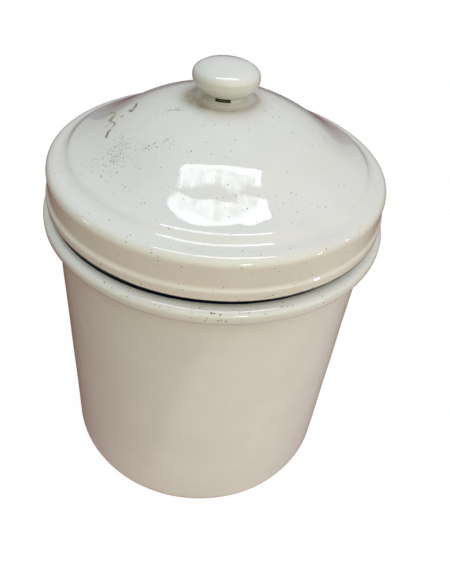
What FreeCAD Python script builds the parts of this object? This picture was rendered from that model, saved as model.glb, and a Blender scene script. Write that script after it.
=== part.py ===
import FreeCAD, Part
import os
import math
import Sketcher

# Enamelled sheet-steel food canister with a lift-off domed lid and a riveted
# hollow knob.  Millimetres, +Z up, origin at the centre of the base's
# standing plane, the vertical axis of revolution is Z.

os.makedirs("parts", exist_ok=True)
doc = FreeCAD.newDocument("canister")
V = FreeCAD.Vector

# ---------------------------------------------------------------- dimensions
DIMS = [
    # alias, value, what it is
    ("sheet", 1.0, "finished sheet: steel core with enamel on both sides"),
    ("wall_radius", 91.35, "outside radius of the straight wall"),
    ("base_corner", 9.9, "outside radius of the wall-to-base corner"),
    ("recess", 2.2, "height of the recessed base panel above the standing ring"),
    ("panel_radius", 66.0, "radius of the recessed base panel"),
    ("ring_inner", 71.0, "inner radius of the flat standing ring"),
    ("base_round", 3.0, "radius of both bends of the recessed panel"),
    ("bead_low", 180.9, "underside of the stop bead"),
    ("bead_high", 191.7, "top of the stop bead"),
    ("bead_radius", 98.45, "largest radius of the stop bead"),
    ("bead_round", 5.35, "rounding of the bead's lower outer edge"),
    ("bead_top_round", 5.3, "rounding of the bead's upper outer edge"),
    ("root_round", 1.7, "bend radius where the bead meets wall and neck"),
    ("neck_radius", 87.7, "outside radius of the neck inside the lid"),
    ("curl_outer", 2.4, "outside radius of the curled mouth rim's section"),
    ("curl_end", -112.0, "angle at which the curl's free edge stops"),
    ("wire_gap", 0.05, "clearance between the rim wire and the curl"),
    ("rim_top", 218.35, "top of the curled mouth rim, just under the lid's shoulder"),
    ("lid_radius", 94.0, "outside radius of the lid's skirt"),
    ("shoulder_height", 218.67, "height at which the shoulder's slope meets the skirt"),
    ("shoulder_round", 6.0, "outside radius of the shoulder-to-skirt roll"),
    ("step_foot", 84.816, "radius at the foot of the step"),
    ("step_foot_height", 220.556, "height at the foot of the step"),
    ("step_top", 81.155, "radius at the top of the step"),
    ("step_height", 223.54, "height at the top of the step"),
    ("step_foot_round", 12.7, "bend radius at the foot of the step"),
    ("step_top_round", 11.2, "bend radius at the top of the step"),
    ("crown_height", 254.15, "height of the dome's crown"),
    ("dome_sphere", 103.5, "radius of the dome's spherical cap"),
    ("dome_cap", 55.756, "radius at which the spherical cap ends"),
    ("dome_cone", 63.851, "radius at which the conical band ends"),
    ("hem_radius", 95.5, "outside radius of the folded hem"),
    ("hem_low", 196.2, "lower edge of the folded hem"),
    ("hem_high", 202.6, "upper edge of the folded hem's outer leaf"),
    ("hem_lip_round", 0.45, "rounding of the outer leaf's free edge"),
    ("knob_radius", 17.5, "largest radius of the knob's cap"),
    ("knob_belt", 264.1, "height of the cap's widest circle"),
    ("knob_top", 271.7, "top of the cap"),
    ("knob_dome", 42.0, "crown radius of the cap's upper side"),
    ("knob_under", 8.0, "section radius of the cap's underside"),
    ("knob_turn", 12.5, "radius at which the underside becomes conical"),
    ("knob_mouth", 10.2, "radius of the opening under the cap"),
    ("knob_low", 255.75, "lowest edge of the cap"),
    ("knob_lip", 257.6, "inner face of the cap's turned-in lip"),
    ("foot_tube", 10.1, "outside radius of the knob's foot under the cap"),
    ("foot_flange", 11.2, "radius of the foot's disc held inside the cap"),
    ("foot_radius", 17.0, "outer radius of the foot's flare on the crown"),
    ("foot_edge", 253.05, "height of the flare's outer edge"),
    ("foot_corner", 253.9, "height where the flare's slope would meet the tube"),
    ("foot_round", 1.9, "concave rounding between tube and flare"),
    ("vent_width", 7.6, "width of the vent slot in the foot"),
    ("vent_low", 254.1, "lower edge of the vent slot"),
    ("vent_shift", -0.8, "sideways position of the vent slot"),
    ("rivet_radius", 2.5, "radius of the rivet's shank"),
    ("rivet_fit", 0.05, "radial clearance of the shank in its holes"),
    ("rivet_face", 0.02, "axial clearance under both rivet heads"),
    ("head_radius", 5.0, "radius of the rivet's set head"),
    ("head_thick", 2.0, "thickness of the rivet's set head"),
    ("tail_radius", 4.4, "radius of the rivet's formed tail"),
    ("tail_thick", 1.8, "thickness of the rivet's formed tail"),
    ("washer_radius", 9.0, "outside radius of the backing washer"),
    ("washer_thick", 1.2, "thickness of the backing washer"),
]
sheet = doc.addObject("Spreadsheet::Sheet", "dims")
for row, (alias, value, note) in enumerate(DIMS, start=1):
    sheet.set("A%d" % row, note)
    sheet.set("B%d" % row, "%g" % value)
    sheet.setAlias("B%d" % row, alias)
doc.recompute()
D = {alias: float(sheet.get(alias)) for alias, _, _ in DIMS}


def num(expression):
    """Value of a sum or difference of sheet aliases and plain numbers."""
    total, sign = 0.0, 1.0
    for token in expression.replace("+", " + ").replace("-", " - ").split():
        if token == "+":
            sign = 1.0
        elif token == "-":
            sign = -1.0
        else:
            total += sign * (D[token] if token in D else float(token))
            sign = 1.0
    return total


def linked(expression):
    """The same expression as FreeCAD wants it, with dims. before aliases."""
    out = []
    for token in expression.replace("+", " + ").replace("-", " - ").split():
        if token in D:
            out.append("dims." + token)
        else:
            out.append(token)
    return " ".join(out)


# ------------------------------------------------------------------- helpers
def new_body(name):
    body = doc.addObject("PartDesign::Body", name)
    body.Label = name
    return body


def plane(body, role):
    for feature in body.Origin.OriginFeatures:
        if feature.Role == role:
            return feature
    raise RuntimeError(role)


def new_sketch(body, name, role="XZ_Plane"):
    sk = body.newObject("Sketcher::SketchObject", name)
    sk.AttachmentSupport = [(plane(body, role), "")]
    sk.MapMode = "FlatFace"
    return sk


def bind(sk, constraint, expression):
    """Add a named dimension whose value comes from the sheet."""
    index = sk.addConstraint(constraint)
    word = "dim%d" % index
    sk.renameConstraint(index, word)
    sk.setExpression("Constraints." + word, linked(expression))
    return index


def at(sk, geo, pos, ex, ez):
    """Fix one sketch point at (radius, height) taken from the sheet."""
    if ex == "0":
        sk.addConstraint(Sketcher.Constraint("PointOnObject", geo, pos, -2))
    else:
        bind(sk, Sketcher.Constraint("DistanceX", -1, 1, geo, pos, num(ex)), ex)
    if ez == "0":
        sk.addConstraint(Sketcher.Constraint("PointOnObject", geo, pos, -1))
    else:
        bind(sk, Sketcher.Constraint("DistanceY", -1, 1, geo, pos, num(ez)), ez)


def polygon(sk, points):
    """Closed polygon through (radius, height) expressions, fully bound."""
    xy = [V(num(r), num(z), 0) for r, z in points]
    n = len(points)
    ids = [sk.addGeometry(Part.LineSegment(xy[i], xy[(i + 1) % n]), False)
           for i in range(n)]
    for i in range(n):
        sk.addConstraint(Sketcher.Constraint(
            "Coincident", ids[i], 2, ids[(i + 1) % n], 1))
    for i, (r, z) in enumerate(points):
        at(sk, ids[i], 1, r, z)
    return ids


def arc(sk, cx, cz, radius, a0, a1):
    """Counter-clockwise arc from angle a0 to a1, in degrees."""
    circle = Part.Circle(V(cx, cz, 0), V(0, 0, 1), radius)
    return sk.addGeometry(Part.ArcOfCircle(
        circle, math.radians(a0), math.radians(a1)), False)


def line(sk, p, q):
    return sk.addGeometry(Part.LineSegment(
        V(p[0], p[1], 0), V(q[0], q[1], 0)), False)


def revolve(body, sk, name, kind="PartDesign::Revolution"):
    feature = body.newObject(kind, name)
    feature.Profile = sk
    feature.ReferenceAxis = (sk, ["V_Axis"])
    feature.Angle = 360.0
    sk.Visibility = False
    doc.recompute()
    return feature


def rings(shape, wanted):
    """Names of the circular edges with the given (radius, height)."""
    names = []
    for r, z in wanted:
        found = None
        for i, edge in enumerate(shape.Edges, start=1):
            if edge.Degenerated:      # the pole of a spherical cap
                continue
            c = edge.Curve
            if not isinstance(c, Part.Circle):
                continue
            if abs(c.Radius - r) < 0.02 and abs(c.Center.z - z) < 0.02 \
                    and abs(c.Axis.z) > 0.99:
                found = "Edge%d" % i
        if found is None:
            raise RuntimeError("no ring at r %.2f z %.2f" % (r, z))
        names.append(found)
    return names


def fillet(body, base, name, wanted, radius):
    feature = body.newObject("PartDesign::Fillet", name)
    feature.Base = (base, rings(base.Shape, [(num(r), num(z)) for r, z in wanted]))
    feature.setExpression("Radius", linked(radius))
    doc.recompute()
    return feature


def level_face(shape, z):
    """Name of the largest flat level face at height z."""
    best, name = 0.0, None
    for i, face in enumerate(shape.Faces, start=1):
        if isinstance(face.Surface, Part.Plane) \
                and abs(face.CenterOfMass.z - z) < 0.01 and face.Area > best:
            best, name = face.Area, "Face%d" % i
    if name is None:
        raise RuntimeError("no level face at %.2f" % z)
    return name


def thicken(body, base, name, face_z, bore=0.0):
    """Hollow a blank to the sheet's thickness, open at one level face and,
    if there is one, along a bore on the axis."""
    feature = body.newObject("PartDesign::Thickness", name)
    faces = [level_face(base.Shape, face_z)]
    for i, face in enumerate(base.Shape.Faces, start=1):
        if bore and isinstance(face.Surface, Part.Cylinder) \
                and abs(face.Surface.Radius - bore) < 0.01:
            faces.append("Face%d" % i)
    feature.Base = (base, faces)
    feature.Value = num("sheet")
    feature.setExpression("Value", linked("sheet"))
    feature.Reversed = True
    feature.Join = 0
    doc.recompute()
    if not feature.Shape.Volume < base.Shape.Volume * 0.6:
        raise RuntimeError(name + " did not hollow the blank")
    return feature


# ---------------------------------------------------- body_shell (the vessel)
# One drawn sheet: recessed base panel, standing ring, rounded corner, straight
# wall, half-round stop bead, narrower neck, and a mouth rim curled outwards.
RIM_Z = "rim_top - curl_outer"
body = new_body("body_shell")
sk = new_sketch(body, "body_profile")
polygon(sk, [
    ("0", "recess"), ("panel_radius", "recess"), ("ring_inner", "0"),
    ("wall_radius", "0"), ("wall_radius", "bead_low"),
    ("bead_radius", "bead_low"), ("bead_radius", "bead_high"),
    ("neck_radius", "bead_high"), ("neck_radius", RIM_Z), ("0", RIM_Z)])
f = revolve(body, sk, "body_blank")
f = fillet(body, f, "body_corner", [("wall_radius", "0")], "base_corner")
f = fillet(body, f, "base_bends", [("panel_radius", "recess"),
                                   ("ring_inner", "0")], "base_round")
f = fillet(body, f, "bead_lower_edge", [("bead_radius", "bead_low")], "bead_round")
f = fillet(body, f, "bead_upper_edge", [("bead_radius", "bead_high")],
           "bead_top_round")
f = fillet(body, f, "bead_roots", [("wall_radius", "bead_low"),
                                   ("neck_radius", "bead_high")], "root_round")
f = thicken(body, f, "body_sheet", num(RIM_Z))

# the curled rim: a C-shaped section that goes up, over, out and back under
CURL_R = "neck_radius - sheet + curl_outer"
sk = new_sketch(body, "curl_profile")
cr, cz = num(CURL_R), num(RIM_Z)
ro, ri = D["curl_outer"], D["curl_outer"] - D["sheet"]
end = D["curl_end"]
outer = arc(sk, cr, cz, ro, end, 180)
inner = arc(sk, cr, cz, ri, end, 180)
u = (math.cos(math.radians(end)), math.sin(math.radians(end)))
start_line = line(sk, (cr - ro, cz), (cr - ri, cz))
end_line = line(sk, (cr + ri * u[0], cz + ri * u[1]),
                (cr + ro * u[0], cz + ro * u[1]))
C = Sketcher.Constraint
sk.addConstraint(C("Coincident", outer, 3, inner, 3))
sk.addConstraint(C("Coincident", outer, 2, start_line, 1))
sk.addConstraint(C("Coincident", inner, 2, start_line, 2))
sk.addConstraint(C("Coincident", inner, 1, end_line, 1))
sk.addConstraint(C("Coincident", outer, 1, end_line, 2))
at(sk, outer, 3, CURL_R, RIM_Z)
bind(sk, C("Radius", outer, ro), "curl_outer")
bind(sk, C("Radius", inner, ri), "curl_outer - sheet")
sk.addConstraint(C("Horizontal", start_line))
sk.addConstraint(C("PointOnObject", outer, 3, start_line))
sk.addConstraint(C("PointOnObject", outer, 3, end_line))
i = sk.addConstraint(C("Angle", end_line, math.radians(end)))
sk.renameConstraint(i, "curl_angle")
sk.setExpression("Constraints.curl_angle", "dims.curl_end * 1 deg")
f = revolve(body, sk, "mouth_curl")
body.Tip = f

# ------------------------------------------ mouth_rim_wire (inside the curl)
wire = doc.addObject("Part::Torus", "mouth_rim_wire")
wire.Label = "mouth_rim_wire"
wire.setExpression("Radius1", linked(CURL_R))
wire.setExpression("Radius2", linked("curl_outer - sheet - wire_gap"))
wire.setExpression("Placement.Base.z", linked(RIM_Z))

# ------------------------------------------------------- lid_shell (the lid)
# One drawn sheet: spherical cap, short cone, reversed foot, soft step, gently
# falling shoulder, rolled corner, vertical skirt and a hem folded outwards.
lid = new_body("lid_shell")
sk = new_sketch(lid, "lid_profile")
FOLD = "dims.hem_low + (dims.hem_radius - dims.lid_radius + dims.sheet) / 2"
T = D["sheet"]
fold = (D["hem_radius"] - D["lid_radius"] + T) / 2.0   # outer radius of the fold
fold_z = D["hem_low"] + fold
Rs, zc = D["dome_sphere"], D["crown_height"] - D["dome_sphere"]
hole = D["rivet_radius"] + D["rivet_fit"]
sm = math.asin(D["dome_cap"] / Rs)
za = zc + Rs * math.cos(sm)
zb = za - (D["dome_cone"] - D["dome_cap"]) * math.tan(sm)
# reversed arc: centre above the sheet, tangent to the cone, ends at the step
dx, dz = D["step_top"] - D["dome_cone"], D["step_height"] - zb
nx, nz = math.sin(sm), math.cos(sm)
rr = (dx * dx + dz * dz) / (2.0 * (dx * nx + dz * nz))
ax, az = D["dome_cone"] + rr * nx, zb + rr * nz


def angle(x, z, px, pz):
    return math.degrees(math.atan2(pz - z, px - x))


# step line and its inner parallel
sx, sz = D["step_foot"] - D["step_top"], D["step_foot_height"] - D["step_height"]
sl = math.hypot(sx, sz)
ux, uz = sx / sl, sz / sl
ox, oz = D["step_top"] + uz * T, D["step_height"] - ux * T   # inside the lid
# inner parallel meets the inner reversed arc
R2 = rr + T
bx, bz = ox - ax, oz - az
bb = bx * ux + bz * uz
root = math.sqrt(bb * bb - (bx * bx + bz * bz - R2 * R2))
tt = min((-bb - root, -bb + root), key=abs)
v1x, v1z = ox + ux * tt, oz + uz * tt
# shoulder line and its inner parallel, which the inner step line meets
hx, hz = D["lid_radius"] - D["step_foot"], D["shoulder_height"] - D["step_foot_height"]
hl = math.hypot(hx, hz)
wx, wz = hx / hl, hz / hl
px, pz = D["step_foot"] + wz * T, D["step_foot_height"] - wx * T
tt = ((px - ox) * wz - (pz - oz) * wx) / (ux * wz - uz * wx)
v2x, v2z = ox + ux * tt, oz + uz * tt
under = pz + (D["lid_radius"] - T - px) * wz / wx

cap = arc(sk, 0, zc, Rs, 90 - math.degrees(sm), math.degrees(math.acos(hole / Rs)))
cone = line(sk, (D["dome_cap"], za), (D["dome_cone"], zb))
foot = arc(sk, ax, az, rr, angle(ax, az, D["dome_cone"], zb),
           angle(ax, az, D["step_top"], D["step_height"]))
step = line(sk, (D["step_top"], D["step_height"]),
            (D["step_foot"], D["step_foot_height"]))
shoulder = line(sk, (D["step_foot"], D["step_foot_height"]),
                (D["lid_radius"], D["shoulder_height"]))
skirt = line(sk, (D["lid_radius"], D["shoulder_height"]), (D["lid_radius"], fold_z))

Ri = Rs - T
ca, cb = (Ri * math.sin(sm), zc + Ri * math.cos(sm)), \
    (D["dome_cone"] - T * nx, zb - T * nz)
cap_i = arc(sk, 0, zc, Ri, 90 - math.degrees(sm), math.degrees(math.acos(hole / Ri)))
cone_i = line(sk, ca, cb)
foot_i = arc(sk, ax, az, R2, angle(ax, az, cb[0], cb[1]), angle(ax, az, v1x, v1z))
step_i = line(sk, (v1x, v1z), (v2x, v2z))
shoulder_i = line(sk, (v2x, v2z), (D["lid_radius"] - T, under))
skirt_i = line(sk, (D["lid_radius"] - T, under), (D["lid_radius"] - T, fold_z))
bore = line(sk, (hole, zc + math.sqrt(Rs * Rs - hole * hole)),
            (hole, zc + math.sqrt(Ri * Ri - hole * hole)))

# hem: the skirt's edge folded outwards and up against itself
fc = D["hem_radius"] - fold
lip = D["hem_lip_round"]
o_arc = arc(sk, fc, fold_z, fold, 180, 360)
i_arc = arc(sk, fc, fold_z, fold - T, 180, 360)
out_up = line(sk, (fc + fold, fold_z), (fc + fold, D["hem_high"] - lip))
in_up = line(sk, (fc + fold - T, fold_z), (fc + fold - T, D["hem_high"] - lip))
lip_o = arc(sk, fc + fold - lip, D["hem_high"] - lip, lip, 0, 90)
lip_i = arc(sk, fc + fold - T + lip, D["hem_high"] - lip, lip, 90, 180)
top = line(sk, (fc + fold - T + lip, D["hem_high"]), (fc + fold - lip, D["hem_high"]))


def join(g1, p1, g2, p2, kind="Coincident"):
    sk.addConstraint(C(kind, g1, p1, g2, p2))


# outer face
sk.addConstraint(C("PointOnObject", cap, 3, -2))
bind(sk, C("DistanceY", -1, 1, cap, 3, zc), "crown_height - dome_sphere")
bind(sk, C("Radius", cap, Rs), "dome_sphere")
bind(sk, C("DistanceX", -1, 1, cap, 2, hole), "rivet_radius + rivet_fit")
bind(sk, C("DistanceX", -1, 1, cap, 1, D["dome_cap"]), "dome_cap")
join(cap, 1, cone, 1, "Tangent")
bind(sk, C("DistanceX", -1, 1, cone, 2, D["dome_cone"]), "dome_cone")
join(cone, 2, foot, 1, "Tangent")
join(foot, 2, step, 1)
at(sk, step, 1, "step_top", "step_height")
join(step, 2, shoulder, 1)
at(sk, step, 2, "step_foot", "step_foot_height")
join(shoulder, 2, skirt, 1)
at(sk, shoulder, 2, "lid_radius", "shoulder_height")
sk.addConstraint(C("Vertical", skirt))
# inner face, one sheet's thickness away
join(cap_i, 3, cap, 3)
bind(sk, C("Radius", cap_i, Ri), "dome_sphere - sheet")
join(cap_i, 1, cone_i, 1, "Tangent")
sk.addConstraint(C("Parallel", cone_i, cone))
join(cone_i, 2, foot_i, 1, "Tangent")
join(foot_i, 3, foot, 3)
join(foot_i, 2, step_i, 1)
sk.addConstraint(C("Parallel", step_i, step))
bind(sk, C("Distance", step_i, 1, step, T), "sheet")
join(step_i, 2, shoulder_i, 1)
sk.addConstraint(C("Parallel", shoulder_i, shoulder))
bind(sk, C("Distance", shoulder_i, 1, shoulder, T), "sheet")
join(shoulder_i, 2, skirt_i, 1)
bind(sk, C("DistanceX", -1, 1, shoulder_i, 2, D["lid_radius"] - T),
     "lid_radius - sheet")
sk.addConstraint(C("Vertical", skirt_i))
join(bore, 1, cap, 2)
join(bore, 2, cap_i, 2)
sk.addConstraint(C("Vertical", bore))
# hem
join(skirt_i, 2, o_arc, 1, "Tangent")
join(skirt, 2, i_arc, 1, "Tangent")
join(o_arc, 2, out_up, 1, "Tangent")
join(i_arc, 2, in_up, 1, "Tangent")
join(o_arc, 3, i_arc, 3)
bind(sk, C("DistanceX", -1, 1, out_up, 1, D["hem_radius"]), "hem_radius")
join(out_up, 2, lip_o, 1, "Tangent")
join(in_up, 2, lip_i, 2, "Tangent")
join(lip_o, 2, top, 2, "Tangent")
join(lip_i, 1, top, 1, "Tangent")
sk.addConstraint(C("Horizontal", top))
bind(sk, C("DistanceY", -1, 1, top, 1, D["hem_high"]), "hem_high")
bind(sk, C("Radius", lip_o, lip), "hem_lip_round")
i = sk.addConstraint(C("DistanceY", -1, 1, o_arc, 3, fold_z))
sk.renameConstraint(i, "fold_level")
sk.setExpression("Constraints.fold_level", FOLD)
f = revolve(lid, sk, "lid_sheet")


def bend(base, name, outer, inner, radius, change):
    """Round one bend on both faces of the sheet."""
    out = lid.newObject("PartDesign::Fillet", name + "_outside")
    out.Base = (base, rings(base.Shape, [outer]))
    out.setExpression("Radius", "dims." + radius)
    doc.recompute()
    ins = lid.newObject("PartDesign::Fillet", name + "_inside")
    ins.Base = (out, rings(out.Shape, [inner]))
    ins.setExpression("Radius", "dims.%s %s dims.sheet" % (radius, change))
    doc.recompute()
    return ins


f = bend(f, "step_foot_bend", (D["step_foot"], D["step_foot_height"]),
         (v2x, v2z), "step_foot_round", "+")
f = bend(f, "step_top_bend", (D["step_top"], D["step_height"]),
         (v1x, v1z), "step_top_round", "-")
f = bend(f, "shoulder_roll", (D["lid_radius"], D["shoulder_height"]),
         (D["lid_radius"] - T, under), "shoulder_round", "-")
lid.Tip = f

# ------------------------------------------- knob_cap (hollow pressed knob)
# A squat cap: flattened crown, round belt, deeper underside, turned-in lip.
cap_body = new_body("knob_cap")


def cap_section(sk, inset):
    """Crown, belt and underside arcs, set in from the outer face by inset."""
    off = "" if inset == 0 else " - sheet"
    dd = 0.0 if inset == 0 else D["sheet"]
    rk, zq, zt = D["knob_radius"] - dd, D["knob_belt"], D["knob_top"] - dd
    rt = D["knob_dome"] - dd
    k = rt - (zt - zq)
    rb = (rt * rt - rk * rk - k * k) / (2.0 * (rt - rk))
    cx = rk - rb
    ang = math.degrees(math.atan2(zq - (zt - rt), cx))
    crown = arc(sk, 0, zt - rt, rt, ang, 90)
    belt = arc(sk, cx, zq, rb, 0, ang)
    sk.addConstraint(C("PointOnObject", crown, 3, -2))
    sk.addConstraint(C("PointOnObject", crown, 2, -2))
    bind(sk, C("DistanceY", -1, 1, crown, 2, zt), "knob_top" + off)
    bind(sk, C("Radius", crown, rt), "knob_dome" + off)
    sk.addConstraint(C("Tangent", crown, 1, belt, 2))
    bind(sk, C("DistanceX", -1, 1, belt, 1, rk), "knob_radius" + off)
    bind(sk, C("DistanceY", -1, 1, belt, 1, zq), "knob_belt")
    bind(sk, C("DistanceY", -1, 1, belt, 3, zq), "knob_belt")
    return crown, belt, rk


sk = new_sketch(cap_body, "cap_outer_profile")
crown, belt, rk = cap_section(sk, 0)
ru = D["knob_under"]
under_cx = rk - ru
turn_z = D["knob_belt"] - math.sqrt(ru * ru - (D["knob_turn"] - under_cx) ** 2)
turn_a = math.degrees(math.atan2(turn_z - D["knob_belt"], D["knob_turn"] - under_cx))
under = arc(sk, under_cx, D["knob_belt"], ru, turn_a, 0)
cone = line(sk, (D["knob_turn"], turn_z), (D["knob_mouth"], D["knob_low"]))
floor = line(sk, (D["knob_mouth"], D["knob_low"]), (0, D["knob_low"]))
axis = line(sk, (0, D["knob_low"]), (0, D["knob_top"]))
sk.addConstraint(C("Tangent", belt, 1, under, 2))
bind(sk, C("Radius", under, ru), "knob_under")
bind(sk, C("DistanceX", -1, 1, under, 1, D["knob_turn"]), "knob_turn")
sk.addConstraint(C("Coincident", under, 1, cone, 1))
sk.addConstraint(C("Coincident", cone, 2, floor, 1))
at(sk, cone, 2, "knob_mouth", "knob_low")
sk.addConstraint(C("Horizontal", floor))
sk.addConstraint(C("PointOnObject", floor, 2, -2))
sk.addConstraint(C("Coincident", floor, 2, axis, 1))
sk.addConstraint(C("Coincident", axis, 2, crown, 2))
f = revolve(cap_body, sk, "cap_blank")

sk = new_sketch(cap_body, "cap_inner_profile")
crown, belt, rk = cap_section(sk, 1)
ru = D["knob_under"] - D["sheet"]
under_cx = rk - ru
lip_r = under_cx + math.sqrt(ru * ru - (D["knob_belt"] - D["knob_lip"]) ** 2)
lip_a = math.degrees(math.atan2(D["knob_lip"] - D["knob_belt"], lip_r - under_cx))
below = D["knob_low"] - D["sheet"]
under = arc(sk, under_cx, D["knob_belt"], ru, lip_a, 0)
ledge = line(sk, (lip_r, D["knob_lip"]), (D["knob_mouth"], D["knob_lip"]))
mouth = line(sk, (D["knob_mouth"], D["knob_lip"]), (D["knob_mouth"], below))
floor = line(sk, (D["knob_mouth"], below), (0, below))
axis = line(sk, (0, below), (0, D["knob_top"] - D["sheet"]))
sk.addConstraint(C("Tangent", belt, 1, under, 2))
bind(sk, C("Radius", under, ru), "knob_under - sheet")
bind(sk, C("DistanceY", -1, 1, under, 1, D["knob_lip"]), "knob_lip")
sk.addConstraint(C("Coincident", under, 1, ledge, 1))
sk.addConstraint(C("Horizontal", ledge))
sk.addConstraint(C("Coincident", ledge, 2, mouth, 1))
sk.addConstraint(C("Vertical", mouth))
sk.addConstraint(C("Coincident", mouth, 2, floor, 1))
at(sk, mouth, 2, "knob_mouth", "knob_low - sheet")
sk.addConstraint(C("Horizontal", floor))
sk.addConstraint(C("PointOnObject", floor, 2, -2))
sk.addConstraint(C("Coincident", floor, 2, axis, 1))
sk.addConstraint(C("Coincident", axis, 2, crown, 2))
before = f.Shape.Volume
f = revolve(cap_body, sk, "cap_hollow", "PartDesign::Groove")
if not f.Shape.Volume < before * 0.7:
    raise RuntimeError("the knob's cap is not hollow")
cap_body.Tip = f

# --------------------------------------------- knob_foot (flared foot piece)
# A pressed top hat: disc held inside the cap, short tube, flare lying on the
# crown, with a vent slot through the tube just under the cap.
foot_body = new_body("knob_foot")
sk = new_sketch(foot_body, "foot_profile")
hole_r = "rivet_radius + rivet_fit"
bore_r = "foot_tube - sheet"
chain = [(hole_r, "knob_lip + sheet"), ("foot_flange", "knob_lip + sheet"),
         ("foot_flange", "knob_lip"), ("foot_tube", "knob_lip"),
         ("foot_tube", "foot_corner"), ("foot_radius", "foot_edge")]
chain2 = [(bore_r, "knob_lip"), (hole_r, "knob_lip")]


def crown_z(r):
    return zc + math.sqrt(Rs * Rs - r * r)


p = [(num(r), num(z)) for r, z in chain]
q = [(num(r), num(z)) for r, z in chain2]
seg = [line(sk, p[k], p[k + 1]) for k in range(5)]
edge = line(sk, p[5], (p[5][0], crown_z(p[5][0])))
seat = arc(sk, 0, zc, Rs, math.degrees(math.acos(p[5][0] / Rs)),
           math.degrees(math.acos(q[0][0] / Rs)))
bore = line(sk, (q[0][0], crown_z(q[0][0])), q[0])
disc = line(sk, q[0], q[1])
inside = line(sk, q[1], p[0])
for a, b in zip(seg[:-1], seg[1:]):
    sk.addConstraint(C("Coincident", a, 2, b, 1))
sk.addConstraint(C("Coincident", seg[4], 2, edge, 1))
sk.addConstraint(C("Coincident", edge, 2, seat, 1))
sk.addConstraint(C("Coincident", seat, 2, bore, 1))
sk.addConstraint(C("Coincident", bore, 2, disc, 1))
sk.addConstraint(C("Coincident", disc, 2, inside, 1))
sk.addConstraint(C("Coincident", inside, 2, seg[0], 1))
for k, (r, z) in enumerate(chain[:5]):
    at(sk, seg[k], 1, r, z)
at(sk, edge, 1, "foot_radius", "foot_edge")
sk.addConstraint(C("Vertical", edge))
sk.addConstraint(C("PointOnObject", seat, 3, -2))
bind(sk, C("Radius", seat, Rs), "dome_sphere")
bind(sk, C("DistanceY", -1, 1, seat, 3, zc), "crown_height - dome_sphere")
sk.addConstraint(C("Vertical", bore))
at(sk, disc, 1, bore_r, "knob_lip")
at(sk, inside, 1, hole_r, "knob_lip")
f = revolve(foot_body, sk, "foot_blank")
f = fillet(foot_body, f, "flare_round", [("foot_tube", "foot_corner")], "foot_round")
sk = new_sketch(foot_body, "vent_profile")
half = D["vent_width"] / 2.0
x0, x1 = D["vent_shift"] - half, D["vent_shift"] + half
z0, z1 = D["vent_low"], D["knob_low"]
v = [(x0, z0), (x1, z0), (x1, z1), (x0, z1)]
ids = [line(sk, v[k], v[(k + 1) % 4]) for k in range(4)]
for k in range(4):
    sk.addConstraint(C("Coincident", ids[k], 2, ids[(k + 1) % 4], 1))
for k in (0, 2):
    sk.addConstraint(C("Horizontal", ids[k]))
for k in (1, 3):
    sk.addConstraint(C("Vertical", ids[k]))
bind(sk, C("DistanceX", ids[0], 1, ids[0], 2, D["vent_width"]), "vent_width")
i = sk.addConstraint(C("DistanceX", -1, 1, ids[0], 1, x0))
sk.renameConstraint(i, "vent_left")
sk.setExpression("Constraints.vent_left", "dims.vent_shift - dims.vent_width / 2")
bind(sk, C("DistanceY", -1, 1, ids[0], 1, z0), "vent_low")
bind(sk, C("DistanceY", -1, 1, ids[2], 1, z1), "knob_low")
before = f.Shape.Volume
vent = foot_body.newObject("PartDesign::Pocket", "vent_slot")
vent.Profile = sk
vent.Type = 0
vent.Length = 14.0
vent.Reversed = False
doc.recompute()
if not (vent.Shape.Volume < before - 2
        and vent.Shape.Solids[0].CenterOfMass.y > 0):
    vent.Reversed = True
    doc.recompute()
if not (vent.Shape.Volume < before - 2
        and vent.Shape.Solids[0].CenterOfMass.y > 0):
    raise RuntimeError("the vent slot is on the wrong side or missing")
foot_body.Tip = vent

# ------------------------------------------ knob_rivet and knob_washer
# Flat washer under the crown; the rivet's head sits on the foot's disc inside
# the cap, its tail is formed against the washer.
under_r = Rs - D["sheet"]
touch = zc + math.sqrt(under_r ** 2 - D["washer_radius"] ** 2)
washer = new_body("knob_washer")
sk = new_sketch(washer, "washer_profile", "XY_Plane")
g1 = sk.addGeometry(Part.Circle(V(0, 0, 0), V(0, 0, 1), D["washer_radius"]), False)
g2 = sk.addGeometry(Part.Circle(V(0, 0, 0), V(0, 0, 1),
                                D["rivet_radius"] + D["rivet_fit"]), False)
sk.addConstraint(C("Coincident", g1, 3, -1, 1))
sk.addConstraint(C("Coincident", g2, 3, -1, 1))
bind(sk, C("Radius", g1, D["washer_radius"]), "washer_radius")
bind(sk, C("Radius", g2, D["rivet_radius"] + D["rivet_fit"]), hole_r)
pad = washer.newObject("PartDesign::Pad", "washer_disc")
pad.Profile = sk
pad.setExpression("Length", linked("washer_thick"))
doc.recompute()
washer.Tip = pad
SEAT = ("(dims.crown_height - dims.dome_sphere + sqrt((dims.dome_sphere - dims.sheet)^2"
        " - dims.washer_radius^2)) - dims.washer_thick - dims.rivet_face")
washer.setExpression("Placement.Base.z", SEAT)

rivet = new_body("knob_rivet")
sk = new_sketch(rivet, "rivet_profile")
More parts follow.
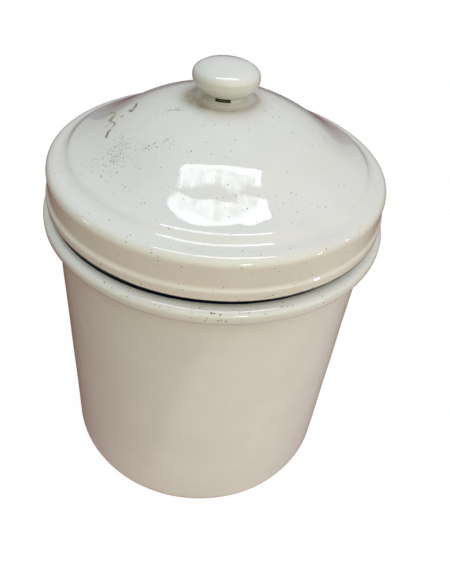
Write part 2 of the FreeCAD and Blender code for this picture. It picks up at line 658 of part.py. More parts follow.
# heights are counted from the washer's lower face
low = touch - D["washer_thick"] - D["rivet_face"]
grip = D["knob_lip"] + D["sheet"] - low
TAIL = "0 - rivet_face"
p = [(0.0, -D["rivet_face"] - D["tail_thick"]),
     (D["tail_radius"], -D["rivet_face"] - D["tail_thick"]),
     (D["tail_radius"], -D["rivet_face"]), (D["rivet_radius"], -D["rivet_face"]),
     (D["rivet_radius"], grip + D["rivet_face"]),
     (D["head_radius"], grip + D["rivet_face"]),
     (D["head_radius"], grip + D["rivet_face"] + D["head_thick"]),
     (0.0, grip + D["rivet_face"] + D["head_thick"])]
GRIP = "(dims.knob_lip + dims.sheet - (" + SEAT + "))"
ids = [line(sk, p[k], p[(k + 1) % 8]) for k in range(8)]
for k in range(8):
    sk.addConstraint(C("Coincident", ids[k], 2, ids[(k + 1) % 8], 1))
for k in (0, 2, 4, 6):
    sk.addConstraint(C("Horizontal", ids[k]))
for k in (1, 3, 5):
    sk.addConstraint(C("Vertical", ids[k]))
sk.addConstraint(C("PointOnObject", ids[0], 1, -2))
sk.addConstraint(C("PointOnObject", ids[7], 1, -2))
bind(sk, C("DistanceX", -1, 1, ids[1], 1, D["tail_radius"]), "tail_radius")
bind(sk, C("DistanceX", -1, 1, ids[3], 1, D["rivet_radius"]), "rivet_radius")
bind(sk, C("DistanceX", -1, 1, ids[5], 1, D["head_radius"]), "head_radius")
bind(sk, C("DistanceY", ids[1], 1, ids[1], 2, D["tail_thick"]), "tail_thick")
bind(sk, C("DistanceY", ids[5], 1, ids[5], 2, D["head_thick"]), "head_thick")
i = sk.addConstraint(C("DistanceY", ids[2], 1, -1, 1, D["rivet_face"]))
sk.renameConstraint(i, "tail_level")
sk.setExpression("Constraints.tail_level", "dims.rivet_face")
i = sk.addConstraint(C("DistanceY", -1, 1, ids[4], 1, grip + D["rivet_face"]))
sk.renameConstraint(i, "head_level")
sk.setExpression("Constraints.head_level", GRIP + " + dims.rivet_face")
f = revolve(rivet, sk, "rivet_blank")
f = fillet(rivet, f, "tail_rounding",
           [("tail_radius", "0 - rivet_face - tail_thick")], "tail_thick - 0.4")
top_z = grip + D["rivet_face"] + D["head_thick"]
f2 = rivet.newObject("PartDesign::Fillet", "head_rounding")
f2.Base = (f, rings(f.Shape, [(D["head_radius"], top_z)]))
f2.setExpression("Radius", linked("head_thick - 0.5"))
doc.recompute()
rivet.Tip = f2
rivet.setExpression("Placement.Base.z", SEAT)

doc.recompute()

# ------------------------------------------------------------ test and write
NODES = ["body_shell", "mouth_rim_wire", "lid_shell", "knob_cap", "knob_foot",
         "knob_rivet", "knob_washer"]
bad = []
for obj in doc.Objects:
    if "Invalid" in obj.State or "Error" in obj.State:
        bad.append("%s %s" % (obj.Name, obj.State))
for name in NODES:
    shape = doc.getObject(name).Shape
    if shape.isNull() or not shape.isValid() or len(shape.Solids) != 1:
        bad.append("%s: null, invalid or not one solid" % name)
if bad:
    raise RuntimeError("; ".join(bad))
for name in NODES:
    shape = doc.getObject(name).Shape
    shape.exportStep("parts/%s.step" % name)
    box = shape.BoundBox
    print("%-16s volume %10.2f mm3  r %6.2f  z %7.2f .. %7.2f  area %9.1f" % (
        name, shape.Volume, box.XMax, box.ZMin, box.ZMax, shape.Area))
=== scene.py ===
# A white-enamelled sheet steel canister with a domed lid and a hollow knob.
# Its axis is Z, its standing ring rests on z = 0 and the camera looks from -Y, so
# "front" is -Y, "left" is -X.  Product lengths are in millimetres; the studio, with
# its floor, lights and camera, is in metres.
import bpy
import math
from functools import reduce
import numpy as np
from mathutils import Matrix, Vector


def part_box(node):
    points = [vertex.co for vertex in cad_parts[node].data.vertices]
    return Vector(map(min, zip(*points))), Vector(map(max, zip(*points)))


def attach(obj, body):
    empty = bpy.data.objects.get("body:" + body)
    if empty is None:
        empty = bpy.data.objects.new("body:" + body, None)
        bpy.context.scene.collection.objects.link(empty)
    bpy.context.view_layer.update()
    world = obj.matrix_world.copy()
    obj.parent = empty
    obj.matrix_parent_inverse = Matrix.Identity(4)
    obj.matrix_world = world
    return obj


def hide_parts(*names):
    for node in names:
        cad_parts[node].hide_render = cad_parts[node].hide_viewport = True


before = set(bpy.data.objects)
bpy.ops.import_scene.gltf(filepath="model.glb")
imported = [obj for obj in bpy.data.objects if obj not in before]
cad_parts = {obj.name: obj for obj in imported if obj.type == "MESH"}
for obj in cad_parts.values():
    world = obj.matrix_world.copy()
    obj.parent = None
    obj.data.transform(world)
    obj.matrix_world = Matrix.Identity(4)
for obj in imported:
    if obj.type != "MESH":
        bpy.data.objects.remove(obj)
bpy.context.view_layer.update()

MM = 0.001

# ==========================================================================
# Driving dimensions: _R is a radius (of the piece about Z, or of a bend), _Z a height
# ==========================================================================
SHEET = 1.0
HOLE_R = 2.55                           # rivet hole

# vessel
WALL_R, BEAD_R, NECK_R = 91.35, 98.45, 87.7
BEAD_LOW, BEAD_HIGH = 180.9, 191.7
SHOULDER_R = 90.96                      # inner end of the bead's rolled top
FLOOR_Z = 2.2                           # underside of the raised middle
CURL_BEND, CURL_Z = 2.4, 215.95         # outer radius and centre of the mouth's curl
CURL_R = NECK_R + CURL_BEND - SHEET

# lid: a spherical dome, a short cone, a reversed foot, a step and a skirt
CROWN_Z, DOME_R = 254.15, 103.5
DOME_Z = CROWN_Z - DOME_R
DOME_EDGE_R, CONE_EDGE_R = 55.756, 63.851
STEP_TOP_R, STEP_TOP_Z = 81.155, 223.54
STEP_FOOT_R, STEP_FOOT_Z = 84.816, 220.556
SKIRT_R, HEM_R, HEM_LOW = 94.0, 95.5, 196.2
FOLD_BEND = (HEM_R - SKIRT_R + SHEET) / 2
FOLD_R, FOLD_Z = HEM_R - FOLD_BEND, HEM_LOW + FOLD_BEND

# knob
KNOB_R, KNOB_WIDE_Z, KNOB_TOP = 17.5, 264.1, 271.7
KNOB_CROWN_BEND, KNOB_ROLL_BEND = 42.0, 8.0
KNOB_ROLL_R = KNOB_R - KNOB_ROLL_BEND   # centre of the lower roll
FLARE_R, TUBE_R = 17.0, 10.1
TUBE_IN_R = TUBE_R - SHEET
FOOT_TOP = 258.6
SEAT_Z = FOOT_TOP - SHEET               # underside of the foot's top plate
VENT_LOW, VENT_HIGH = 254.1, 255.75     # slot through the front of the tube
VENT_X, VENT_HALF = -0.8, 3.8

SHEET_SEGMENTS, KNOB_SEGMENTS = 600, 240

# node, lowest and highest z, radius
for node, low, high, radius in (("body_shell", 0.0, CURL_Z + CURL_BEND, BEAD_R),
                                ("lid_shell", HEM_LOW, CROWN_Z, HEM_R),
                                ("knob_cap", 255.75, KNOB_TOP, KNOB_R),
                                ("knob_foot", None, FOOT_TOP, FLARE_R)):
    box_low, box_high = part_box(node)
    fits = abs(box_high.z / MM - high) < 0.3 and abs(box_high.x / MM - radius) < 0.3 \
        and (low is None or abs(box_low.z / MM - low) < 0.3)
    if not fits:
        raise RuntimeError("%s is not where this scene expects it" % node)

# ==========================================================================
# Profile helpers.  Every pressed piece is a surface of revolution about Z,
# drawn as a (radius, height) path with its solid on the left.
# ==========================================================================


def arc(centre_r, centre_z, bend, start, end, turn=6.0):
    """Arc between two angles in degrees, at most turn degrees per step."""
    count = max(2, math.ceil(abs(end - start) / turn))
    angle = np.radians(np.linspace(start, end, count + 1))
    return np.stack([centre_r + bend * np.cos(angle), centre_z + bend * np.sin(angle)], 1)


def rounded(points, turn=7.0):
    """Polyline through (r, z, fillet radius) with its inner corners rounded."""
    out = [np.array([points[0][:2]], float)]
    for before, (r, z, fillet), after in zip(points, points[1:], points[2:]):
        corner = np.array([r, z], float)
        back = np.array(before[:2], float) - corner
        ahead = np.array(after[:2], float) - corner
        back /= np.linalg.norm(back)
        ahead /= np.linalg.norm(ahead)
        half = math.acos(max(-1.0, min(1.0, float(back @ ahead)))) / 2
        middle = (back + ahead) / np.linalg.norm(back + ahead)
        centre = corner + middle * (fillet / math.sin(half))
        first = corner + back * fillet / math.tan(half) - centre
        last = corner + ahead * fillet / math.tan(half) - centre
        start = math.degrees(math.atan2(first[1], first[0]))
        end = math.degrees(math.atan2(last[1], last[0]))
        end = start + (end - start + 180) % 360 - 180
        out.append(arc(centre[0], centre[1], fillet, start, end, turn))
    out.append(np.array([points[-1][:2]], float))
    return np.concatenate(out)


def roll_over(r, z, *bends):
    """Convex bends (radius, slope at its end) that follow a level stretch
    ending at (r, z), each tangent to the one before."""
    out, slope = [], 0.0
    for bend, next_slope in bends:
        start, end = math.radians(slope), math.radians(next_slope)
        centre_r, centre_z = r - bend * math.sin(start), z - bend * math.cos(start)
        out.append(arc(centre_r, centre_z, bend, 90 - slope, 90 - next_slope, 2.5))
        r, z = centre_r + bend * math.sin(end), centre_z + bend * math.cos(end)
        slope = next_slope
    return np.concatenate(out)


def chain(*paths, step=2.0):
    """Joins paths end to end and fills long stretches with extra points."""
    points = np.concatenate([np.atleast_2d(path) for path in paths]).astype(float)
    out = [points[0]]
    for point in points[1:]:
        length = float(np.linalg.norm(point - out[-1]))
        if length < 1e-5:
            continue
        count = max(1, math.ceil(length / step - 1e-6))
        start = out[-1]
        out += [start + (point - start) * j / count for j in range(1, count + 1)]
    return np.array(out)


def path_normals(path, closed):
    if closed:
        tangent = np.roll(path, -1, 0) - np.roll(path, 1, 0)
    else:
        tangent = np.empty_like(path)
        tangent[1:-1] = path[2:] - path[:-2]
        tangent[0], tangent[-1] = path[1] - path[0], path[-1] - path[-2]
    tangent /= np.linalg.norm(tangent, axis=1)[:, None]
    return np.stack([tangent[:, 1], -tangent[:, 0]], 1)


def crown_z(r):
    """Height of the dome's outer face at a radius."""
    return DOME_Z + math.sqrt(DOME_R ** 2 - r * r)


# ==========================================================================
# Profiles
# ==========================================================================


def vessel_path():
    """Outer face from the base's middle up, round the curl, down the inner face."""
    bead_top = roll_over(SHOULDER_R, BEAD_HIGH, (14.0, 18.0), (9.0, 27.0), (3.4, 90.0))
    # rounded() takes (radius, height, fillet radius)
    outer = np.concatenate([
        rounded([(0, FLOOR_Z, 0), (66.0, FLOOR_Z, 3.0), (71.0, 0, 3.0), (WALL_R, 0, 9.9),
                 (WALL_R, BEAD_LOW, 1.7), (BEAD_R, BEAD_LOW, 5.35), (BEAD_R, 187.0, 0)]),
        bead_top[::-1],
        [(SHOULDER_R - 0.3 * i, BEAD_HIGH) for i in range(4)],
        rounded([(89.8, BEAD_HIGH, 0), (NECK_R, BEAD_HIGH, 1.7), (NECK_R, CURL_Z, 0)])])
    curl_in = arc(CURL_R, CURL_Z, CURL_BEND - SHEET, 180, -112, 12)
    curl_out = arc(CURL_R, CURL_Z, CURL_BEND, -112, 180, 8)
    inner = rounded([
        (NECK_R - SHEET, CURL_Z, 0), (NECK_R - SHEET, BEAD_HIGH - SHEET, 2.7),
        (BEAD_R - SHEET, BEAD_HIGH - SHEET, 4.3), (BEAD_R - SHEET, BEAD_LOW + SHEET, 4.35),
        (WALL_R - SHEET, BEAD_LOW + SHEET, 2.7), (WALL_R - SHEET, SHEET, 8.9),
        (71.0, SHEET, 4.0), (66.0, FLOOR_Z + SHEET, 2.0), (0, FLOOR_Z + SHEET, 0)])
    # the bead's top gets closer rows, for the edge of the dark enamel and of the painted shade
    on_ledge = (outer[:, 1] > 190.2) & (outer[:, 0] > 89.9)
    first, last = np.flatnonzero(on_ledge)[[0, -1]]
    return chain(chain(outer[:first + 1], step=3.0),
                 chain(outer[first:last + 1], step=0.35),
                 chain(outer[last:], curl_in, curl_out, inner, step=3.0), step=3.0)


def lid_path():
    """Outer face from skirt to rivet hole, inner face back down, then the hem."""
    slope = math.asin(DOME_EDGE_R / DOME_R)
    dome_edge_z = DOME_Z + DOME_R * math.cos(slope)
    cone_edge_z = dome_edge_z - (CONE_EDGE_R - DOME_EDGE_R) * math.tan(slope)
    # the reversed foot: tangent to the cone, through the top of the step
    run, rise = STEP_TOP_R - CONE_EDGE_R, STEP_TOP_Z - cone_edge_z
    out_r, out_z = math.sin(slope), math.cos(slope)
    bend = (run * run + rise * rise) / (2.0 * (run * out_r + rise * out_z))
    centre_r, centre_z = CONE_EDGE_R + bend * out_r, cone_edge_z + bend * out_z
    cone_angle = math.degrees(math.atan2(cone_edge_z - centre_z, CONE_EDGE_R - centre_r))
    # its last two millimetres run straight into the soft step, then a gently
    # falling shoulder rolls over into the skirt
    step_angle = math.degrees(math.atan2(STEP_TOP_Z - centre_z, STEP_TOP_R - centre_r)) \
        - math.degrees(2.0 / bend)
    corner = rounded([
        (SKIRT_R, 205.0, 0), (SKIRT_R, 217.532, 5.0), (89.73, 219.547, 12.5),
        (STEP_FOOT_R, STEP_FOOT_Z, 12.8), (STEP_TOP_R, STEP_TOP_Z, 11.2),
        (centre_r + bend * math.cos(math.radians(step_angle)),
         centre_z + bend * math.sin(math.radians(step_angle)), 0)], turn=2.5)

    def dome_angle(r, radius):
        return math.degrees(math.acos(r / radius))

    foot_up = arc(centre_r, centre_z, bend, step_angle, cone_angle, 0.5)
    dome_up = arc(0, DOME_Z, DOME_R, dome_angle(DOME_EDGE_R, DOME_R),
                  dome_angle(HOLE_R, DOME_R), 0.6)
    top_face = chain(corner, foot_up, dome_up, step=1.1)
    # inner face, one sheet's thickness below
    dome_down = arc(0, DOME_Z, DOME_R - SHEET, dome_angle(HOLE_R, DOME_R - SHEET),
                    dome_angle(DOME_EDGE_R, DOME_R), 1.5)
    foot_down = arc(centre_r, centre_z, bend + SHEET, cone_angle, step_angle, 1.0)
    dense = chain(corner, step=0.8)
    corner_in = np.concatenate([(dense - path_normals(dense, False) * SHEET)[-2::-1],
                                [(SKIRT_R - SHEET, FOLD_Z)]])
    # the glass has run into the fold's upper seam and rounds it off
    fold = arc(FOLD_R, FOLD_Z, FOLD_BEND, 180, 360, 6)
    seam = rounded([(HEM_R, 198.0, 0), (HEM_R, 201.4, 2.6), (SKIRT_R, 203.6, 3.4),
                    (SKIRT_R, 204.9, 0)], turn=5)
    return chain(top_face, dome_down, foot_down, corner_in, fold, seam, step=2.2)


def knob_top_path():
    """Inner face from the axis down to the lip, then the outer face back up."""
    crown, radius = KNOB_CROWN_BEND - SHEET, KNOB_R - SHEET
    crown_centre = KNOB_TOP - SHEET - crown
    drop = crown - (KNOB_TOP - SHEET - KNOB_WIDE_Z)
    # arc tangent to the crown and upright at the widest height
    side = (crown ** 2 - radius ** 2 - drop * drop) / (2.0 * (crown - radius))
    side_centre = radius - side
    join = math.degrees(math.atan2(KNOB_WIDE_Z - crown_centre, side_centre))
    roll = KNOB_ROLL_BEND - SHEET
    lip_r = KNOB_ROLL_R + math.sqrt(roll * roll - (KNOB_WIDE_Z - SEAT_Z) ** 2)
    lip_angle = math.degrees(math.atan2(SEAT_Z - KNOB_WIDE_Z, lip_r - KNOB_ROLL_R))
    inner = [arc(0, crown_centre, crown, 90, join, 3),
             arc(side_centre, KNOB_WIDE_Z, side, join, 0, 8),
             arc(KNOB_ROLL_R, KNOB_WIDE_Z, roll, 0, lip_angle, 8),
             [(lip_r, SEAT_Z), (10.35, SEAT_Z)]]
    over = roll_over(0.0, KNOB_TOP, (KNOB_CROWN_BEND, 17.8), (6.0, 31.0), (17.0, 38.0),
                     (4.4, 90.0))
    over = over[over[:, 0] <= KNOB_R + 0.02]
    # the lower roll begins this far outside its centre
    turn_run = 3.0
    turn_drop = math.sqrt(KNOB_ROLL_BEND ** 2 - turn_run ** 2)
    turn_angle = math.degrees(math.atan2(-turn_drop, turn_run))
    outer = [[(10.2, 257.45), (10.2, 255.9), (10.28, 255.78)],
             [(KNOB_ROLL_R + turn_run, KNOB_WIDE_Z - turn_drop)],
             arc(KNOB_ROLL_R, KNOB_WIDE_Z, KNOB_ROLL_BEND, turn_angle, 0, 4),
             over[::-1]]
    path = chain(*inner, *outer, step=0.7)
    path[0, 0] = path[-1, 0] = 0.0
    return path


def with_level(points, level):
    """Adds a point where a rising path crosses a height."""
    k = next(i for i, (r, z) in enumerate(points) if z > level)
    (r0, z0), (r1, z1) = points[k - 1:k + 1]
    crossing = (r0 + (level - z0) / (z1 - z0) * (r1 - r0), level)
    return points[:k] + [crossing] + points[k:]


def knob_flare_path():
    """Flare and tube outside, top plate, tube inside, underside on the dome."""
    flare = rounded([(FLARE_R, 253.05, 0), (TUBE_R, 253.9, 1.9), (TUBE_R, SEAT_Z, 0)], turn=5)
    outside = [tuple(point) for point in chain(flare, step=0.6)]
    # a row of vertices exactly at the vent's lower and upper edge
    outside = with_level(with_level(outside, VENT_LOW), VENT_HIGH)
    plate = [(11.2, SEAT_Z), (11.2, 258.5), (11.1, FOOT_TOP), (7.0, FOOT_TOP),
             (HOLE_R, FOOT_TOP), (HOLE_R, SEAT_Z), (6.0, SEAT_Z)]
    tube = [(TUBE_IN_R, z) for z in (SEAT_Z, VENT_HIGH, VENT_LOW)]
    seat, *underside = [(r, crown_z(r) + 0.01) for r in (FLARE_R, TUBE_IN_R, 12.0, 14.5)]
    return np.array([seat] + outside + plate + tube + underside)


# ==========================================================================
# Meshes
# ==========================================================================


class Waves:
    """Smooth deterministic noise: plane waves of random direction."""

    def __init__(self, seed, shortest, longest, count=26):
        rng = np.random.RandomState(seed)
        direction = rng.normal(size=(count, 3))
        direction /= np.linalg.norm(direction, axis=1)[:, None]
        length = np.exp(rng.uniform(math.log(shortest), math.log(longest), count))
        self.waves = direction * (2 * math.pi / length)[:, None]
        self.phases = rng.uniform(0, 2 * math.pi, count)

    def __call__(self, points):
        out = np.zeros(len(points))
        for wave, phase in zip(self.waves, self.phases):
            out += np.cos(points @ wave + phase)
        return out * math.sqrt(2.0 / len(self.phases))


def ease(low, high, x):
    """Smooth step from 0 at low to 1 at high."""
    share = np.clip((np.asarray(x, float) - low) / (high - low), 0, 1)
    return share * share * (3 - 2 * share)


def unit(values):
    return np.clip(values, 0, 1)


def smooth(mesh):
    mesh.polygons.foreach_set("use_smooth", [True] * len(mesh.polygons))


def lathe(name, path, segments, closed, shape, drop=None, extra=None):
    """Revolves a path.  A closed path is a ring-like skin, an open one begins
    and ends on the axis.  shape(points, r, z) gives each vertex an offset in
    millimetres along the skin's normal.  drop(row, segment) leaves a face
    out, and extra(index) returns faces that border the opening."""
    rows = len(path)
    angle = np.tile(np.arange(segments) * 2 * math.pi / segments, rows)
    cos, sin = np.cos(angle), np.sin(angle)
    r, z = np.repeat(path, segments, 0).T
    normal_r, normal_z = np.repeat(path_normals(path, closed), segments, 0).T
    points = np.stack([r * cos, r * sin, z], 1)
    points = points + np.stack([normal_r * cos, normal_r * sin, normal_z], 1) \
        * shape(points, r, z)[:, None]
    index = np.arange(rows * segments).reshape(rows, segments)
    keep = np.ones(rows * segments, bool)
    if not closed:
        # one vertex on the axis stands for the whole end row
        for row in (0, rows - 1):
            index[row] = index[row][0]
            points[row * segments] = (0.0, 0.0, path[row][1])
            keep[row * segments + 1:(row + 1) * segments] = False
    faces = []
    for row in range(rows if closed else rows - 1):
        a, b = index[row], index[(row + 1) % rows]
        a_next, b_next = np.roll(a, -1), np.roll(b, -1)
        if a[0] == a[1]:
            faces += [(a[0], y, x) for x, y in zip(b, b_next)]
        elif b[0] == b[1]:
            faces += [(x, y, b[0]) for x, y in zip(a, a_next)]
        else:
            quads = np.stack([a, a_next, b_next, b], 1)
            if drop is not None:
                quads = quads[[j for j in range(segments) if not drop(row, j)]]
            faces += list(quads)
    if extra is not None:
        faces += extra(index)
    new_index = np.cumsum(keep) - 1
    faces = [tuple(int(new_index[i]) for i in face) for face in faces]
    mesh = bpy.data.meshes.new(name)
    mesh.from_pydata((points[keep] * MM).tolist(), [], faces)
    mesh.validate()
    mesh.update()
    smooth(mesh)
    return mesh, points[keep]


def radius_height(points):
    return np.hypot(points[:, 0], points[:, 1]), points[:, 2]


def paint(mesh, **masks):
    """Stores vertex masks for the materials to read."""
    for name, values in masks.items():
        layer = mesh.attributes.new(name, "FLOAT", "POINT")
        layer.data.foreach_set("value", np.asarray(values, np.float32))


def piece(mesh, body, material, stands_for):
    obj = bpy.data.objects.new(mesh.name, mesh)
    bpy.context.scene.collection.objects.link(obj)
    obj.data.materials.append(material)
    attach(obj, body)
    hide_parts(stands_for)


# ==========================================================================
# Procedural materials
# ==========================================================================


class Net:
    """Builds the node tree of a material or world from function calls."""

    def __init__(self, owner):
        owner.use_nodes = True
        self.owner = owner
        self.tree = owner.node_tree
        self.tree.nodes.clear()

    def node(self, kind, inputs=None, **props):
        node = self.tree.nodes.new("ShaderNode" + kind)
        for key, value in props.items():
            setattr(node, key, value)
        for key, value in (inputs or {}).items():
            self.put(node.inputs[key], value)
        return node

    def put(self, socket, value):
        if isinstance(value, bpy.types.NodeSocket):
            self.tree.links.new(value, socket)
            return
        if hasattr(value, "__len__") and len(value) == 3 and len(socket.default_value) == 4:
            value = tuple(value) + (1.0,)
        socket.default_value = value

    def math(self, operation, *values, clamp=False):
        return self.node("Math", dict(enumerate(values)), operation=operation,
                         use_clamp=clamp).outputs[0]

    def plus(self, a, b):
        return self.math("ADD", a, b)

    def minus(self, a, b):
        return self.math("SUBTRACT", a, b)

    def times(self, a, b):
        return self.math("MULTIPLY", a, b)

    def most(self, a, b):
        return self.math("MAXIMUM", a, b)

    def join(self, operation, parts):
        """Folds many values into one with a two-sided operation."""
        return reduce(lambda a, b: self.math(operation, a, b), parts)

    def vec(self, operation, *values, scale=None):
        inputs = dict(enumerate(values))
        if scale is not None:
            inputs["Scale"] = scale
        scalar = operation in ("DISTANCE", "DOT_PRODUCT")
        return self.node("VectorMath", inputs,
                         operation=operation).outputs["Value" if scalar else "Vector"]

    def mix(self, factor, a, b, mode="MIX"):
        return self.node("Mix", {0: factor, 6: a, 7: b}, data_type="RGBA",
                         blend_type=mode).outputs[2]

    def noise(self, vector, size, detail=2.0, rough=0.5, distortion=0.0, output=0):
        """Noise of a feature size; output 0 is a value, 1 a colour."""
        return self.node("TexNoise", {
            "Vector": vector, "Scale": 1 / size, "Detail": detail, "Roughness": rough,
            "Distortion": distortion}).outputs[output]

    def cells(self, vector, size):
        """Distance from the cell's centre, and the cell's random numbers."""
        node = self.node("TexVoronoi", {"Vector": vector, "Scale": 1 / size})
        return node.outputs["Distance"], self.split(node.outputs["Color"])

    def split(self, vector):
        return self.node("SeparateXYZ", {0: vector}).outputs

    def rgb(self, colour, name):
        return self.node("CombineXYZ", dict(zip("XYZ", colour)), name=name).outputs[0]

    def ramp(self, value, low, high, to=(0.0, 1.0)):
        """Smooth step of value over low..high, mapped to a range."""
        return self.node("MapRange", {
            "Value": value, "From Min": low, "From Max": high, "To Min": to[0],
            "To Max": to[1]}, interpolation_type="SMOOTHSTEP").outputs[0]

    def attr(self, name):
        return self.node("Attribute", attribute_name=name).outputs["Fac"]

    def mm(self):
        """Object coordinates in millimetres."""
        place = self.node("TexCoord").outputs["Object"]
        return self.vec("SCALE", place, scale=1000.0)

    def position(self):
        return self.node("NewGeometry").outputs["Position"]

    def bump(self, height, strength, distance):
        return self.node("Bump", {"Strength": strength, "Distance": distance,
                                  "Height": height}).outputs[0]

    def shader_mix(self, factor, a, b, **props):
        return self.node("MixShader", {0: factor, 1: a, 2: b}, **props).outputs[0]

    def colour_sum(self, prefix, parts):
        """Sum of colours, each scaled by its power."""
        terms = (self.vec("SCALE", self.rgb(colour, "%s_%d" % (prefix, i)), scale=power)
                 for i, (power, colour) in enumerate(parts))
        return reduce(lambda a, b: self.vec("ADD", a, b), terms)

    def out(self, shader, kind="OutputMaterial"):
        self.node(kind, {"Surface": shader})
        return self.owner


def new_net(name):
    return Net(bpy.data.materials.new(name))


# chips in the enamel: x, y, z, radius, share of rust
LID_SPOTS = [
    (-44.9, 8.2, 243.5, 0.66, 0.6), (-52.7, -6.4, 239.5, 0.90, 0.6),
    (-39.4, -46.7, 234.5, 0.36, 0.5), (-56.7, -48.0, 227.4, 0.34, 0.5),
    (-70.1, -45.0, 219.6, 0.50, 0.6), (-70.5, -48.6, 219.2, 0.34, 0.5),
    (-55.8, -59.7, 221.9, 0.36, 0.5), (-52.8, -42.5, 230.7, 0.36, 0.4),
    (-69.6, -31.2, 226.4, 0.30, 0.3), (-24.0, -41.5, 242.4, 0.34, 0.4),
    (-10.0, -48.7, 241.4, 0.30, 0.4), (-12.9, -50.2, 240.2, 0.30, 0.4),
    (-17.8, -49.0, 240.0, 0.34, 0.4), (-29.8, -45.6, 238.7, 0.34, 0.3),
    (-15.2, -44.0, 243.1, 0.28, 0.3), (-26.1, -36.3, 244.0, 0.40, 0.5),
    (-29.8, -39.6, 241.5, 0.40, 0.5), (-34.2, -37.6, 240.8, 0.42, 0.4),
    (-4.0, -45.0, 243.8, 0.36, 0.4), (2.9, -45.9, 243.4, 0.34, 0.5),
    (3.3, -27.0, 250.5, 0.50, 0.2), (6.5, -63.0, 233.2, 0.30, 0.4),
    (15.1, -66.5, 230.5, 0.42, 0.6), (36.8, -57.4, 230.5, 0.30, 0.4),
    (32.9, -79.2, 219.2, 0.34, 0.5), (1.2, -84.5, 219.2, 0.34, 0.5),
    (-12.5, -88.9, 219.1, 0.34, 0.4), (-22.7, -90.8, 216.0, 0.34, 0.4),
    (14.1, -92.7, 215.5, 0.42, 0.7), (21.3, -8.7, 251.6, 0.40, 0.6),
    (7.1, -93.8, 204.2, 0.38, 0.6), (2.7, -94.5, 202.8, 0.34, 0.4),
    (-11.0, -94.7, 201.4, 0.34, 0.4), (30.4, -90.5, 199.3, 0.42, 0.7),
    (27.0, -91.6, 198.6, 0.36, 0.6), (35.4, -88.7, 197.5, 0.36, 0.6),
    (28.5, -91.2, 198.6, 0.30, 0.6), (-36.2, -88.7, 191.0, 0.34, 0.5),
    (-26.5, -90.7, 191.5, 0.34, 0.5),
]
VESSEL_SPOTS = [
    (2.8, -96.7, 190.3, 0.55, 0.8), (4.2, -96.7, 190.2, 0.45, 0.8),
    (7.1, -96.8, 189.9, 0.50, 0.7), (-2.7, -94.6, 191.5, 0.50, 0.7),
    (-1.3, -94.3, 191.6, 0.34, 0.6), (20.9, -91.2, 191.7, 0.34, 0.6),
    (-6.4, -96.1, 190.6, 0.34, 0.5), (1.0, -98.0, 188.4, 0.36, 0.6),
    (6.2, -98.2, 187.1, 0.42, 0.8), (9.9, -97.9, 186.8, 0.42, 0.8),
    (-6.5, -98.1, 187.4, 0.34, 0.6), (12.2, -93.3, 191.6, 0.36, 0.5),
    (29.7, -93.8, 187.4, 0.34, 0.6), (-16.9, -95.8, 189.7, 0.34, 0.5),
]
# iron specks gathered on the left of the dome: x, y, z, reach, share
SPECK_CLOUDS = [
    (-51.8, -31.0, 235.0, 6.4, 0.85), (-54.0, -23.5, 234.8, 3.6, 0.22),
    (-44.1, -39.8, 235.5, 5.0, 0.26), (-50.5, -39.5, 232.5, 4.5, 0.42),
    (-55.5, -43.5, 228.7, 4.5, 0.46), (-63.0, -35.0, 228.5, 6.0, 0.16),
    (-33.5, -38.0, 240.8, 4.6, 0.66), (-40.5, -37.8, 238.1, 3.0, 0.30),
    (-26.1, -36.4, 243.9, 4.0, 0.26), (-28.2, -15.2, 249.1, 2.0, 0.60),
    (-24.7, -15.8, 249.9, 2.0, 0.70), (-21.8, -15.1, 250.7, 2.4, 0.70),
]
# cracks: a run of points, radius, depth, rust, tone
OLIVE, GOLD, ASH = (0.115, 0.088, 0.055), (0.33, 0.245, 0.11), (0.16, 0.14, 0.115)
LID_CRACKS = [
    (((-46.4, 3.6, 243.0), (-46.1, -0.5, 243.3), (-46.7, -3.6, 242.9),
      (-47.6, -5.4, 242.3)), 0.86, 1.0, 0.25, OLIVE),
    (((-47.6, -5.4, 242.3), (-49.0, -3.9, 241.8), (-49.0, -2.4, 241.9)),
     0.72, 1.0, 0.25, OLIVE),
    (((-47.3, 0.5, 242.8), (-48.4, -2.2, 242.1)), 0.80, 0.55, 0.2, GOLD),
    (((-62.6, 10.3, 232.9), (-60.3, 7.1, 234.7), (-58.1, 2.9, 236.3)),
     0.66, 0.80, 0.5, GOLD),
    (((-57.7, -0.7, 236.6), (-58.8, -0.7, 235.9), (-59.0, -3.2, 235.7),
      (-59.9, -3.0, 235.2)), 1.05, 1.0, 0.6, GOLD),
    (((-59.7, -3.2, 235.3), (-57.8, -7.2, 236.2), (-56.4, -9.0, 237.0),
      (-55.3, -12.4, 237.3), (-56.3, -13.1, 236.6)), 0.62, 0.85, 0.2, ASH),
    (((-58.4, -7.2, 235.9), (-59.5, -8.7, 235.1), (-60.8, -9.0, 234.2)),
     0.48, 0.70, 0.3, GOLD),
    (((-57.0, -15.2, 235.8), (-58.2, -16.1, 234.9), (-58.4, -18.0, 234.4),
      (-58.5, -20.0, 234.0)), 0.90, 1.0, 0.15, OLIVE),
    (((-28.6, -15.2, 249.0), (-25.0, -15.9, 249.8), (-22.6, -14.9, 250.6)),
     0.42, 0.45, 0.0, ASH),
    (((17.4, -82.4, 221.8), (18.8, -87.2, 219.9)), 0.20, 0.30, 0.0, ASH),
]

PALE, WARM, DULL = (0.80, 0.79, 0.765), (0.77, 0.755, 0.72), (0.744, 0.72285, 0.6885)
# multiplied in as a painted warmer light on upright faces
WARM_LIGHT_TINT = (1.025, 0.982, 0.935)
# the second tone darkens dirt and painted shade alike
MARK_TONE, DIRT_AND_SHADE_TONE, HALO_TONE = (0.125, 0.115, 0.10), (0.30, 0.242, 0.158), (0.43, 0.32, 0.19)
RUST_DARK, RUST_LIGHT = (0.045, 0.034, 0.026), (0.15, 0.10, 0.06)
# near-black of the edge enamel and of painted shade in gaps
NAVY_DARK, NAVY_LIGHT = (0.010, 0.012, 0.026), (0.018, 0.021, 0.044)
PINHOLE_R = 0.304


